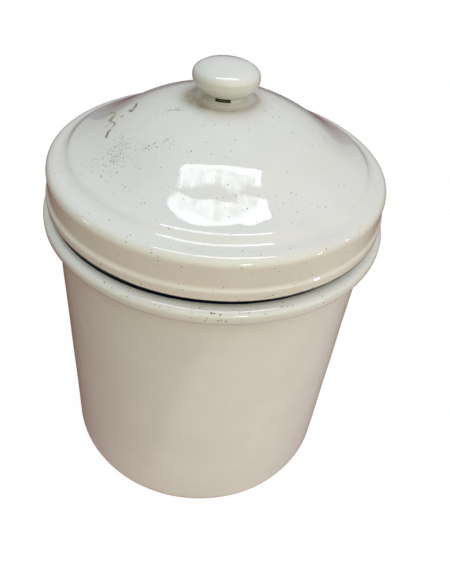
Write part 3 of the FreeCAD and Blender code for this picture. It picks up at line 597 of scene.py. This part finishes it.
def dark_marks(g, points, pin_share, pin_size, specks):
    """Pinholes and dots, each cell holding at most one, and iron specks."""
    distance, chance = g.cells(points, pin_size)
    size = g.ramp(chance[0], 1.0 - pin_share, 1.0, to=(0.0, PINHOLE_R / pin_size))
    pinholes = g.times(g.math("LESS_THAN", distance, size),
                       g.ramp(chance[1], 0.0, 1.0, to=(0.25, 0.75)))
    distance, chance = g.cells(g.vec("ADD", points, (71.3, 12.7, 5.1)), size=11.0)
    size = g.ramp(chance[0], 0.62, 1.0, to=(0.0, 0.042))
    dots = g.times(g.math("LESS_THAN", distance, size), 0.85)
    marks = g.most(pinholes, dots)
    if specks:
        # their density follows the painted mask
        warp = g.noise(points, size=1.3, detail=1.0, output=1)
        warped = g.vec("ADD", points, g.vec("SCALE", warp, scale=0.9))
        distance, chance = g.cells(warped, size=0.80)
        present = g.math("LESS_THAN", chance[0], g.attr("speck"))
        grain = g.math("LESS_THAN", distance, g.ramp(chance[1], 0, 1, to=(0.18, 0.46)))
        marks = g.most(marks, g.times(g.times(present, grain),
                                      g.ramp(chance[2], 0, 1, to=(0.35, 0.85))))
    return marks


def run_distance(g, points, run):
    """Distance to the nearest stretch of a run of points."""
    def to_stretch(start, end):
        along = tuple(b - a for a, b in zip(start, end))
        dot = g.vec("DOT_PRODUCT", g.vec("SUBTRACT", points, start), along)
        share = g.math("DIVIDE", dot, sum(v * v for v in along), clamp=True)
        nearest = g.vec("ADD", g.vec("SCALE", along, scale=share), start)
        return g.vec("DISTANCE", points, nearest)
    return g.join("MINIMUM", (to_stretch(a, b) for a, b in zip(run, run[1:])))


def damage(g, points, colour, rough, spots, cracks):
    """Chips and cracks with brown halos; also returns their combined depth."""
    warp = g.vec("SUBTRACT", g.noise(points, size=1.1, detail=3.0, output=1), (0.5, 0.5, 0.5))
    ragged = g.vec("ADD", points, g.vec("SCALE", warp, scale=1.0))
    chips, halos, rifts = [], [], []
    for x, y, z, radius, rust in spots:
        distance = g.vec("DISTANCE", ragged, (x, y, z))
        chips.append(g.times(g.ramp(distance, radius * 0.55, radius, to=(1.0, 0.0)),
                             0.55 + 0.4 * rust))
        if rust > 0.5:
            halos.append(g.ramp(distance, radius * 0.7, radius * 1.9, to=(0.62 * rust, 0.0)))
    for run, radius, depth, rust, tone in cracks:
        distance = run_distance(g, ragged, run)
        rift = g.times(g.ramp(distance, radius * 0.45, radius * 1.1, to=(1.0, 0.0)), depth)
        rift = g.times(rift, g.ramp(g.noise(points, size=1.3), 0.34, 0.58, to=(0.35, 1.0)))
        rifts.append((rift, tone))
        if rust > 0.1:
            halos.append(g.ramp(distance, radius * 0.8, radius * 2.6, to=(0.5 * rust, 0.0)))
    colour = g.mix(g.join("MAXIMUM", halos), colour, HALO_TONE)
    core = g.join("MAXIMUM", chips)
    rust_tone = g.mix(g.noise(points, size=0.8, detail=3.0), RUST_DARK, RUST_LIGHT)
    colour = g.mix(core, colour, rust_tone)
    rough = g.most(rough, g.times(core, 0.7))
    for rift, tone in rifts:
        colour = g.mix(rift, colour, tone)
        rough = g.most(rough, g.times(rift, 0.5))
        core = g.most(core, rift)
    return colour, rough, core


def enamel(name, pin_share, pin_size, sheet=True, spots=(), cracks=(), wave=1.0):
    """White glossy glass, faintly mottled, with pinholes, dirt with painted shade, and dark
    edge enamel that in gaps is painted shade.  sheet adds a painted warmer light on upright
    faces, a painted reflection and the iron specks of the large pieces; wave scales the relief."""
    g = new_net(name)
    points = g.mm()
    # mottling of the white, large and small
    large = g.noise(points, size=46.0, detail=3.0, rough=0.55, distortion=0.4)
    small = g.noise(points, size=9.0, detail=3.0, rough=0.6)
    colour = g.mix(g.ramp(large, 0.32, 0.68), PALE, WARM)
    colour = g.mix(g.ramp(small, 0.3, 0.75, to=(0.0, 0.22)), colour, DULL)
    if sheet:
        # painted warmer light on upright faces, and a painted reflection on the vessel's front
        colour = g.mix(g.attr("cream"), colour, WARM_LIGHT_TINT, "MULTIPLY")
        sheen = g.vec("SCALE", (1.0, 1.0, 1.0), scale=g.plus(1.0, g.attr("sheen")))
        colour = g.mix(1.0, colour, sheen, "MULTIPLY")
    marks = dark_marks(g, points, pin_share, pin_size, specks=sheet)
    colour = g.mix(marks, colour, MARK_TONE)
    # dirt, and painted shade under and between parts
    patchy = g.ramp(g.noise(points, size=4.5, detail=3.0, rough=0.55), 0.25, 0.75,
                    to=(0.82, 1.08))
    dirt_and_shade = g.times(g.attr("grime"), patchy)
    colour = g.mix(g.math("MULTIPLY", dirt_and_shade, 0.85, clamp=True), colour, DIRT_AND_SHADE_TONE)
    # navy-black edge enamel with a wandering border; in the vessel's gap under the lid and in
    # the knob's socket it is painted shade
    wander = g.times(g.minus(g.noise(points, size=5.0), 0.5), 0.5)
    dark = g.plus(g.attr("trim"), wander)
    colour = g.mix(g.ramp(dark, 0.42, 0.56), colour, g.mix(small, NAVY_DARK, NAVY_LIGHT))
    rough = g.ramp(small, 0.3, 0.7, to=(0.022, 0.045))
    pits = marks
    if spots:
        colour, rough, core = damage(g, points, colour, rough, spots, cracks)
        pits = g.most(marks, core)
    rough = g.most(rough, g.times(marks, 0.4))
    # relief: broad fire waviness of the glass, fine ripple, pits
    height = g.times(g.noise(points, size=7.5, rough=0.45), 0.018 * wave)
    height = g.plus(height, g.times(g.noise(points, size=2.2), 0.0022 * wave))
    height = g.minus(height, g.times(pits, 0.08))
    return g.out(g.node("BsdfPrincipled", {
        "Base Color": colour, "Roughness": rough, "IOR": 1.52,
        "Normal": g.bump(height, strength=1.0, distance=0.001)}).outputs[0])


def bare_steel(name, colour, rough, grain):
    """Plain steel with drawing marks and a little tarnish; grain is the
    marks' frequency along x, y and z."""
    g = new_net(name)
    points = g.mm()
    lines = g.noise(g.vec("MULTIPLY", points, grain), size=1.0, detail=4.0, rough=0.6)
    stain = g.noise(points, size=3.0, detail=4.0, rough=0.6, distortion=0.6)
    tarnish = (0.20, 0.15, 0.115)
    tone = g.mix(g.ramp(stain, 0.35, 0.7, to=(0.0, 0.75)), colour, tarnish)
    tone = g.mix(g.ramp(lines, 0.3, 0.7, to=(0.0, 0.3)), tone, tuple(c * 0.6 for c in colour))
    return g.out(g.node("BsdfPrincipled", {
        "Base Color": tone, "Metallic": 0.9,
        "Roughness": g.ramp(stain, 0.3, 0.7, to=(rough, rough + 0.25)),
        "Normal": g.bump(lines, strength=0.6, distance=0.00003)}).outputs[0])


vessel_enamel = enamel("vessel_white_enamel", pin_share=0.35, pin_size=5.5,
                       spots=VESSEL_SPOTS)
lid_enamel = enamel("lid_white_enamel", pin_share=0.5, pin_size=3.2,
                    spots=LID_SPOTS, cracks=LID_CRACKS)
knob_enamel = enamel("knob_white_enamel", pin_share=0.25, pin_size=4.0, sheet=False, wave=0.6)
wire_steel = bare_steel("rim_wire_steel", (0.42, 0.41, 0.39), rough=0.32, grain=(0.4, 0.4, 3.0))
fixing_steel = bare_steel("fixing_steel", (0.50, 0.49, 0.47), rough=0.30, grain=(2.4, 2.4, 0.4))

# ==========================================================================
# Pieces
# ==========================================================================


def left_side(points, spread):
    """1 towards the left, a little to the front, fading over spread degrees."""
    angle = np.degrees(np.arctan2(points[:, 1], points[:, 0]))
    return np.exp(-(((angle + 168 + 180) % 360 - 180) / spread) ** 2)


def make_vessel():
    broad, medium = Waves(3, 34, 90), Waves(5, 10, 22)

    def shape(points, r, z):
        """Fire waviness of the sheet, kept within the bead's extent."""
        wave = broad(points) * 0.07 + medium(points) * 0.012
        wave *= ease(0.5, 9.0, z) * (1 - ease(190.0, 196.0, z) * 0.8)
        return np.where(r > 96.5, np.minimum(wave - 0.08, -0.06), wave)

    mesh, points = lathe("vessel_sheet", vessel_path(), SHEET_SEGMENTS, False, shape)
    x, y = points[:, 0], points[:, 1]
    r, z = radius_height(points)
    # near-black navy enamel on the neck and the mouth; on the ledge, down to this radius and
    # wider on the left, the same near-black is painted shade of the gap under the lid's hem
    bound = 91.75 + np.where(x < 0, -1.7, -0.25) * x / 92.0
    trim = np.where(z > 193.0, 1.0, ease(bound + 0.5, bound - 0.5, r) * (z > 190.0))
    inside_mouth = (r < 86.95) & (z < 214.8)
    # painted shadow of the lid's hem on the bead's ledge, painted shade in the bead's lower
    # crease, and a darkening of the standing ring
    ledge = (z > 190.0) & (z < 193.0)
    neck = ease(bound - 0.4, bound + 0.1, r) * (1 - ease(bound + 0.9, bound + 1.8, r)) \
        * ledge * 0.30
    crease = np.exp(-((z - BEAD_LOW - 0.2) / 0.9) ** 2) * (r < 94) * (r > 90.5) * 0.30
    bottom_darkening = np.exp(-(z / 1.6) ** 2) * (r > 68) * (0.35 + 0.25 * Waves(21, 14, 50)(points))
    # a broad, very faint painted reflection on the front wall, edged by a slanting line
    slant = x - (-14.9 + (z - 94.3) * 0.221)
    sheen = 0.075 * (ease(-7.0, 7.0, slant) - 0.55) * np.exp(-(slant / 55.0) ** 2) \
        * (y < -30.0) * ease(10.0, 60.0, z) * (1 - ease(165.0, 179.0, z))
    on_bead = ease(181.5, 183.0, z) * (1 - ease(192.0, 193.5, z)) * (r > 91.6)
    paint(mesh,
          trim=np.where(inside_mouth, 0.0, trim),
          # painted warmer light on the wall below the bead's top
          cream=0.30 * (1 - ease(184.0, 190.5, z)),
          sheen=sheen,
          grime=unit(neck + crease + bottom_darkening),
          speck=unit(0.05 * on_bead + 0.07 * np.exp(-(z / 3.0) ** 2)))
    piece(mesh, "canister", vessel_enamel, "body_shell")


def make_lid():
    broad, medium, ripple = Waves(11, 34, 90), Waves(13, 10, 22), Waves(17, 7, 13)

    def shape(points, r, z):
        """Waviness, calmer at the hem, with a finer ripple on the foot."""
        wave = broad(points) * 0.06 + medium(points) * 0.010
        hem_zone = 1 - ease(203.5, 207.0, z)
        wave = wave + ripple(points) * 0.011 * ease(62.0, 66.0, r) * (1 - ease(73.0, 77.5, r))
        return wave * (1 - 0.75 * hem_zone) - np.where(r > 95.3, 0.06, 0.0)

    mesh, points = lathe("lid_sheet", lid_path(), SHEET_SEGMENTS, True, shape)
    r, z = radius_height(points)
    lift = Waves(23, 9, 40)(points)
    # dark enamel edges the fold under the hem
    edge = 197.05 + 0.90 * ease(0.1, 0.75, np.abs(points[:, 0]) / 95.0)
    speck = np.full(len(points), 0.018)
    for *centre, reach, share in SPECK_CLOUDS:
        far = np.linalg.norm(points - centre, axis=1)
        speck += 1.35 * share * np.exp(-(far / reach) ** 2) * (0.8 + 0.3 * lift)
    # brown dirt and painted shade round the knob's foot: darkest on the left, thin in front
    side = left_side(points, 48.0)
    far = np.maximum(r - FLARE_R, 0.0)
    dirt_and_shade = (0.86 * side + 0.34) * np.exp(-(far / 5.5) ** 2) \
        + (0.42 + 0.20 * side) * np.exp(-(far / 1.9) ** 2)
    paint(mesh,
          trim=(1 - ease(edge - 0.25, edge + 0.25, z)) * (r > 93.4),
          # painted warmer light on the upright skirt and hem
          cream=1 - ease(211.0, 226.0, z),
          speck=unit(speck),
          grime=unit(dirt_and_shade * (0.92 + 0.10 * lift) * (z > 240)))
    piece(mesh, "lid", lid_enamel, "lid_shell")


def make_knob_top():
    def shape(points, r, z):
        return Waves(31, 9, 26)(points) * 0.035 * ease(2.0, 8.0, r) * (z > 256.5) - 0.03

    mesh, points = lathe("knob_top", knob_top_path(), KNOB_SEGMENTS, False, shape)
    # painted shade on the cap's lower roll, under its widest point
    under = 1 - ease(255.8, 259.5, points[:, 2])
    paint(mesh, grime=unit(0.5 * under * (0.7 + 0.3 * Waves(37, 4, 12)(points))))
    piece(mesh, "lid", knob_enamel, "knob_cap")


def make_knob_flare():
    """The knob's foot, with its vent slot opened through the tube."""
    path = knob_flare_path()

    def segment_at(x):
        angle = math.degrees(math.asin(x / TUBE_R)) - 90
        return int(round((angle % 360) / 360 * KNOB_SEGMENTS))

    def vent_rows(low_r, high_r):
        rows = [i for i, (r, z) in enumerate(path)
                if VENT_LOW - 1e-4 <= z <= VENT_HIGH + 1e-4 and low_r < r < high_r]
        return rows[0], rows[-1]

    left, right = segment_at(VENT_X - VENT_HALF), segment_at(VENT_X + VENT_HALF)
    out_low, out_high = vent_rows(10.0, 11.0)
    in_high, in_low = vent_rows(TUBE_IN_R - 1e-6, TUBE_IN_R + 1e-6)

    def in_vent(row, j):
        return left <= j < right and (out_low <= row < out_high or in_high <= row < in_low)

    def vent_sides(index):
        faces = []
        for j in range(left, right):
            k = j + 1
            faces.append((index[out_low][j], index[out_low][k],
                          index[in_low][k], index[in_low][j]))
            faces.append((index[out_high][k], index[out_high][j],
                          index[in_high][j], index[in_high][k]))
        rows = [*range(out_low, out_high + 1), *range(in_high, in_low + 1)]
        faces.append(tuple(index[row][left] for row in rows))
        faces.append(tuple(index[row][right] for row in rows[::-1]))
        return faces

    def shape(points, r, z):
        return Waves(41, 5, 16)(points) * 0.02 * (r > 11.5) * (z > 252.9)

    mesh, points = lathe("knob_flare", path, KNOB_SEGMENTS, True, shape, in_vent, vent_sides)
    r, z = radius_height(points)
    side = left_side(points, 50.0)
    # dirt and painted shade under the cap: darkest at the flare's edge and on the left
    dirt_and_shade = 0.08 + (0.68 + 0.20 * side) * ease(12.5, FLARE_R, r) + 0.32 * side
    # painted shade inside the foot's socket, where the vent shows it: near-black
    paint(mesh, grime=unit(dirt_and_shade) * (z < 257.0), trim=(r < 9.7) * (z < 257.7))
    piece(mesh, "lid", knob_enamel, "knob_foot")


make_vessel()
make_lid()
make_knob_top()
make_knob_flare()

for node, material in (("mouth_rim_wire", wire_steel), ("knob_rivet", fixing_steel),
                       ("knob_washer", fixing_steel)):
    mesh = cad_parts[node].data
    mesh.materials.clear()
    mesh.materials.append(material)
    smooth(mesh)

# ==========================================================================
# Studio, in metres: pale floor, soft light, camera
# ==========================================================================
scene = bpy.context.scene
scene.view_settings.view_transform = "Standard"
scene.view_settings.look = "None"

# rings of soft light lobes: elevation, tightness, colours at equal azimuths
# from the front towards +X
LOBE_RINGS = [
    (90, 9, [(0.05, 0.04, 0.24)]),
    (52, 8, [(1.04, 1.01, 0.87), (0.89, 0.86, 0.97), (0.34, 0.26, 0.44),
             (0.25, 0.39, 0.41), (0.49, 0.77, 0.87), (0.36, 0.28, 0.41)]),
    (16, 9, [(0.95, 1.10, 0.64), (1.07, 1.23, 0.94), (0.59, 0.54, 0.55),
             (0.28, 0.31, 0.17), (0.44, 0.37, 0.36), (0.47, 0.42, 0.24),
             (0.12, 0.05, 0.18), (0.17, 0.18, 0.00)])]
BACKDROP = (0.88, 0.88, 0.88)
# light coming back from the floor round the object: x, y, reach, colour
GLOW = [(0, 0, 3, (0.14, 0.04, 0.01)),
        (0, -0.3, 0.22, (0.43, 0.33, 0.45)),
        (0.32, -0.1, 0.22, (0.46, 0.48, 0.50)),
        (-0.32, -0.1, 0.22, (0.00, 0.00, 0.00)),
        (0.22, 0.26, 0.22, (0.00, 0.00, 0.00)),
        (-0.22, 0.26, 0.22, (0.00, 0.00, 0.00))]
# the floor as the camera sees it: share of shaded paper, strength of the rest
PAPER_SHARE, FLOOR_STRENGTH = 0.12, 1.06
FLOOR_HALF = 6
# overhead strip: extent, height, colour, share that reaches all but glossy rays
STRIP_X0, STRIP_X1, STRIP_Y0, STRIP_Y1, STRIP_Z = -0.475, 0.535, -0.24, 0.095, 1.42
STRIP_COLOUR, STRIP_FILL = (7.4, 7.9, 8.8), 0.02
# small far lamps: azimuth, elevation, distance, half width, half height
LAMPS = [(-82, 18, 2.4, 0.08, 0.04), (-54, 12, 2.2, 0.07, 0.05),
         (21, 24, 2.2, 0.12, 0.08), (67, 12, 2.2, 0.07, 0.05),
         (90, 21, 2.4, 0.08, 0.05)]
LAMP_CENTRE = Vector((0.0, 0.0, 0.22))
LAMP_STRENGTH = 22.0


def toward(azimuth, elevation):
    """Direction from the object; azimuth runs from the front (-Y) towards +X."""
    a, e = math.radians(azimuth), math.radians(elevation)
    return Vector((math.cos(e) * math.sin(a), -math.cos(e) * math.cos(a), math.sin(e)))


def stage_quad(name, corners, material):
    mesh = bpy.data.meshes.new(name)
    mesh.from_pydata(corners, [], [(0, 1, 2, 3)])
    mesh.materials.append(material)
    obj = bpy.data.objects.new(name, mesh)
    scene.collection.objects.link(obj)


def make_world():
    """The eye sees a plain pale backdrop, everything else the lobes."""
    scene.world = bpy.data.worlds.new("soft_studio")
    g = Net(scene.world)
    direction = g.node("TexCoord").outputs["Generated"]

    def lobes():
        for elevation, tightness, colours in LOBE_RINGS:
            for i, colour in enumerate(colours):
                axis = toward(i * 360.0 / len(colours), elevation)
                off = g.minus(g.vec("DOT_PRODUCT", direction, axis), 1.0)
                yield g.math("EXPONENT", g.times(off, tightness)), colour

    total = g.colour_sum("lobe", lobes())
    seen = g.node("LightPath").outputs["Is Camera Ray"]
    colour = g.mix(seen, total, BACKDROP)
    g.out(g.node("Background", {"Color": colour}).outputs[0], "OutputWorld")


def floor_material():
    """Pale to the eye; its returned light is set apart by the glow table."""
    g = new_net("pale_floor")
    position = g.position()

    def glows():
        for x, y, reach, colour in GLOW:
            far = g.math("DIVIDE", g.vec("DISTANCE", position, (x, y, 0.0)), reach)
            yield g.math("EXPONENT", g.times(g.math("POWER", far, 2.0), -1.0)), colour

    glow = g.node("Emission", {"Color": g.colour_sum("glow", glows())})
    paper = g.node("BsdfDiffuse", {"Color": (0.8, 0.8, 0.8)}, name="floor_paper")
    lit = g.node("Emission", {"Color": (1, 1, 1), "Strength": FLOOR_STRENGTH},
                 name="floor_lit")
    seen = g.shader_mix(1.0 - PAPER_SHARE, paper.outputs[0], lit.outputs[0],
                        name="floor_mix")
    camera_ray = g.node("LightPath").outputs["Is Camera Ray"]
    return g.out(g.shader_mix(camera_ray, glow.outputs[0], seen))


def strip_material():
    """A clean, slightly bowed edge at the back, a bowed and uneven edge in
    front, faint streaks across."""
    g = new_net("strip_light")
    position = g.position()
    x, y, _ = g.split(position)
    # front edge: bow about the strip's middle, a small rise to the right,
    # raggedness that grows towards the ends
    off = g.minus(x, 0.045)
    bow = g.times(g.times(off, off), g.ramp(x, -0.05, 0.15, to=(0.26, 0.52)))
    edge = g.noise(g.vec("MULTIPLY", position, (30.0, 2.0, 0.0)), size=1.0, detail=4.0,
                   rough=0.62)
    ragged = g.times(g.ramp(edge, 0.25, 0.75),
                     g.ramp(g.math("ABSOLUTE", off), 0.12, 0.34, to=(0.009, 0.014)))
    front = g.plus(g.plus(g.plus(bow, -0.2065), g.ramp(x, 0.03, 0.12, to=(0.0, 0.006))),
                   ragged)
    # back edge: slope and bow, a small notch near the middle, ends cut back
    rear = g.plus(g.times(x, 0.055), g.times(g.times(x, x), 0.21))
    notch = g.most(0.0, g.minus(0.012, g.math("ABSOLUTE", g.minus(x, 0.014))))
    rear = g.minus(g.plus(rear, 0.006), g.times(notch, 1.1))
    for end, sign in ((-0.385, -1.0), (0.46, 1.0)):
        past = g.most(0.0, g.times(g.minus(x, end), sign))
        rear = g.minus(rear, g.times(g.times(past, past), 6.0))
    inside = g.times(g.ramp(g.minus(y, front), -0.006, 0.012),
                     g.math("GREATER_THAN", rear, y))
    inside = g.times(inside, g.times(g.ramp(x, STRIP_X0, STRIP_X0 + 0.035),
                                     g.ramp(x, STRIP_X1, STRIP_X1 - 0.03)))
    # streaks and patches dim the front part
    streak = g.noise(g.vec("MULTIPLY", position, (52.0, 1.6, 0.0)), size=1.0, detail=3.0,
                     rough=0.55)
    patch = g.noise(g.vec("MULTIPLY", position, (7.0, 11.0, 0.0)), size=1.0)
    dimming = g.times(g.ramp(y, -0.025, -0.085),
                      g.plus(g.ramp(streak, 0.35, 0.65, to=(0.0, 0.34)),
                             g.ramp(patch, 0.35, 0.65, to=(0.0, 0.38))))
    level = g.minus(1.06, dimming)
    # bright in the glass's mirror image, a mild source for everything else
    ray = g.node("LightPath").outputs
    level = g.times(level, g.most(ray["Is Glossy Ray"], STRIP_FILL))
    # a narrow cream band across the strip
    cream = g.ramp(g.math("ABSOLUTE", g.minus(x, 0.047)), 0.008, 0.022, to=(1.0, 0.0))
    tint = g.mix(cream, (1.0, 1.0, 1.0), (0.93, 0.90, 0.70))
    colour = g.vec("MULTIPLY", g.rgb(STRIP_COLOUR, "panel_rgb"), tint)
    light = g.node("Emission", {"Color": colour, "Strength": level}, name="panel")
    visible = g.times(inside, g.minus(1.0, ray["Is Camera Ray"]))
    clear = g.node("BsdfTransparent").outputs[0]
    return g.out(g.shader_mix(visible, clear, light.outputs[0]))


def lamp_material():
    """Seen only in the glass."""
    g = new_net("small_lamp")
    light = g.node("Emission", {"Color": (1.0, 1.0, 0.98), "Strength": LAMP_STRENGTH})
    glossy_ray = g.node("LightPath").outputs["Is Glossy Ray"]
    clear = g.node("BsdfTransparent").outputs[0]
    return g.out(g.shader_mix(glossy_ray, clear, light.outputs[0]))


def make_lamps():
    material = lamp_material()
    for i, (azimuth, elevation, distance, half_width, half_height) in enumerate(LAMPS):
        a = math.radians(azimuth)
        direction = toward(azimuth, elevation)
        across = Vector((math.cos(a), math.sin(a), 0.0))
        upward = direction.cross(across)
        middle = direction * distance + LAMP_CENTRE
        corners = [tuple(middle + across * (h * half_width) + upward * (v * half_height))
                   for h, v in ((-1, -1), (1, -1), (1, 1), (-1, 1))]
        stage_quad("small_lamp_%d" % i, corners, material)


def make_camera():
    """Above the front of the canister, looking down on it."""
    place = (0.0, -0.284444, 0.373744)
    pitch, yaw, roll = 0.7198, 0.0401, 0.1166
    forward = Vector((math.sin(yaw) * math.cos(pitch), math.cos(yaw) * math.cos(pitch),
                      -math.sin(pitch)))
    level = Vector((math.cos(yaw), -math.sin(yaw), 0.0))
    upright = level.cross(forward)
    right = math.cos(roll) * level + math.sin(roll) * upright
    up = -math.sin(roll) * level + math.cos(roll) * upright
    camera = bpy.data.cameras.new("camera")
    camera.sensor_width = 36.0
    camera.lens = 35.828873
    camera.clip_start, camera.clip_end = 0.01, 50.0
    obj = bpy.data.objects.new("camera", camera)
    scene.collection.objects.link(obj)
    turn = Matrix((right, up, -forward)).transposed().to_4x4()
    obj.matrix_world = Matrix.Translation(place) @ turn
    scene.camera = obj


make_world()
stage_quad("floor", [(x * FLOOR_HALF, y * FLOOR_HALF, 0)
                     for x, y in ((-1, -1), (1, -1), (1, 1), (-1, 1))], floor_material())
stage_quad("strip_light", [(STRIP_X0, STRIP_Y0, STRIP_Z), (STRIP_X0, STRIP_Y1, STRIP_Z),
                           (STRIP_X1, STRIP_Y1, STRIP_Z), (STRIP_X1, STRIP_Y0, STRIP_Z)],
           strip_material())
make_lamps()
make_camera()
